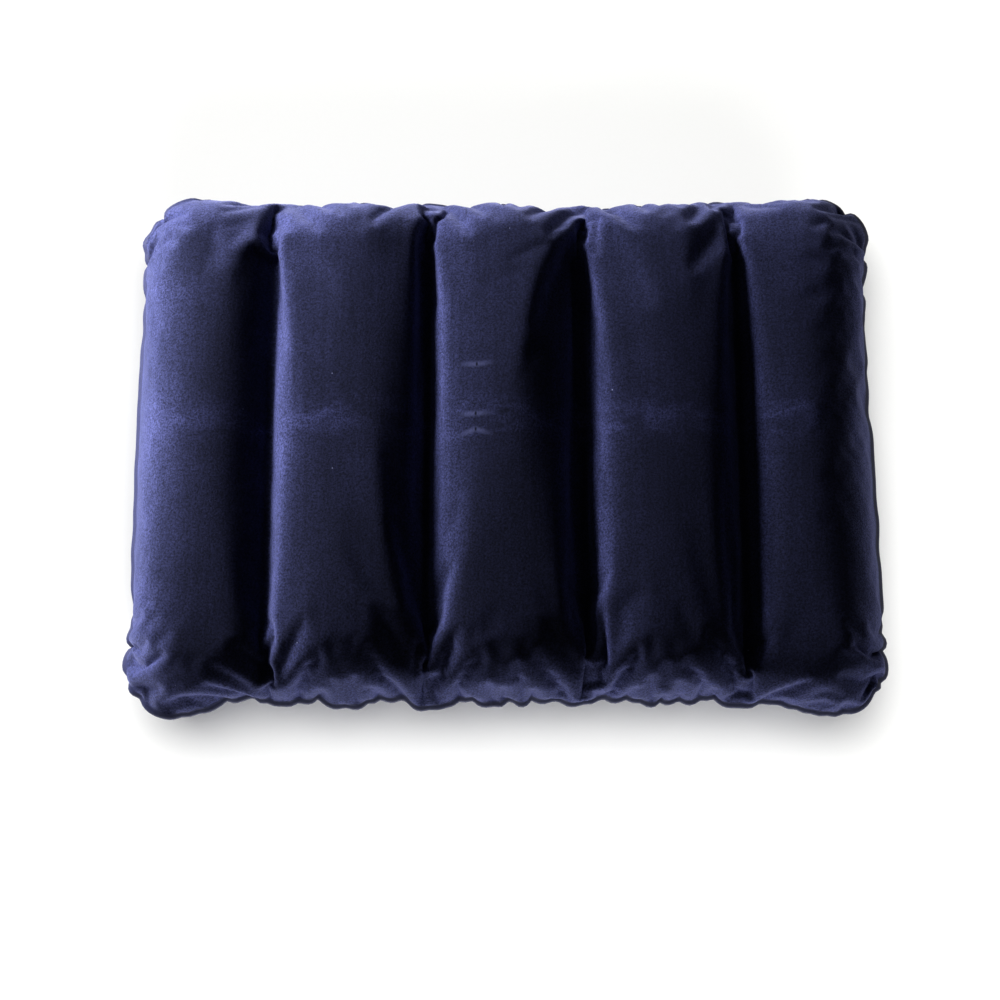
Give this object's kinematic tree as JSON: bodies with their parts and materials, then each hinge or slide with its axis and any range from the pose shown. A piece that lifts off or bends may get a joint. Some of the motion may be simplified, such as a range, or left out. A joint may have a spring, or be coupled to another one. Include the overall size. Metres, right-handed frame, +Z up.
{
  "type": "inflatable camp pillow",
  "caption": "Flocked inflatable camp pillow with parallel air channels held by internal baffles, a welded rim and a push-in oral valve with a tethered plug.",
  "frame": {"origin": "middle of the resting side, on the ground plane under the middle of the bounding box", "axes": "+X along the pillow's long side, across the air channels, towards the valve; +Y along the channels; +Z up, out of the flocked side"},
  "size_m": [0.43, 0.305, 0.09],
  "materials": {
    "navy_flock": "short flock on vinyl, very matt",
    "navy_vinyl": "calendered soft vinyl, satin",
    "valve_vinyl": "moulded soft vinyl, semi-matt"
  },
  "bodies": {
    "pillow": {"top_panel": "navy_flock", "bottom_panel": "navy_vinyl", "baffle_1": "navy_vinyl", "baffle_2": "navy_vinyl", "baffle_3": "navy_vinyl", "baffle_4": "navy_vinyl", "valve_flange": "valve_vinyl", "valve_skirt": "valve_vinyl"},
    "stem": {"valve_stem": "valve_vinyl", "plug_strap": "valve_vinyl"},
    "flap": {"valve_flap": "valve_vinyl"},
    "plug": {"valve_plug": "valve_vinyl"}
  },
  "joints": [
    {"name": "stem_slide", "type": "slide", "parent": "pillow", "child": "stem", "axis": [0.8192, 0, -0.5736], "range_m": [0, 0.0165], "deforming": ["valve_skirt"]},
    {"name": "flap_swing", "type": "hinge", "parent": "stem", "child": "flap", "pos_m": [0.19468, 0.04, 0.03279], "axis": [0, 1, 0], "range_deg": [0, 50], "stiffness_Nm_per_rad": 0.00002, "springref_deg": -17.19},
    {"name": "plug_pull", "type": "slide", "parent": "stem", "child": "plug", "axis": [0.8192, 0, -0.5736], "range_m": [0, 0.008], "deforming": ["plug_strap"]}
  ]
}
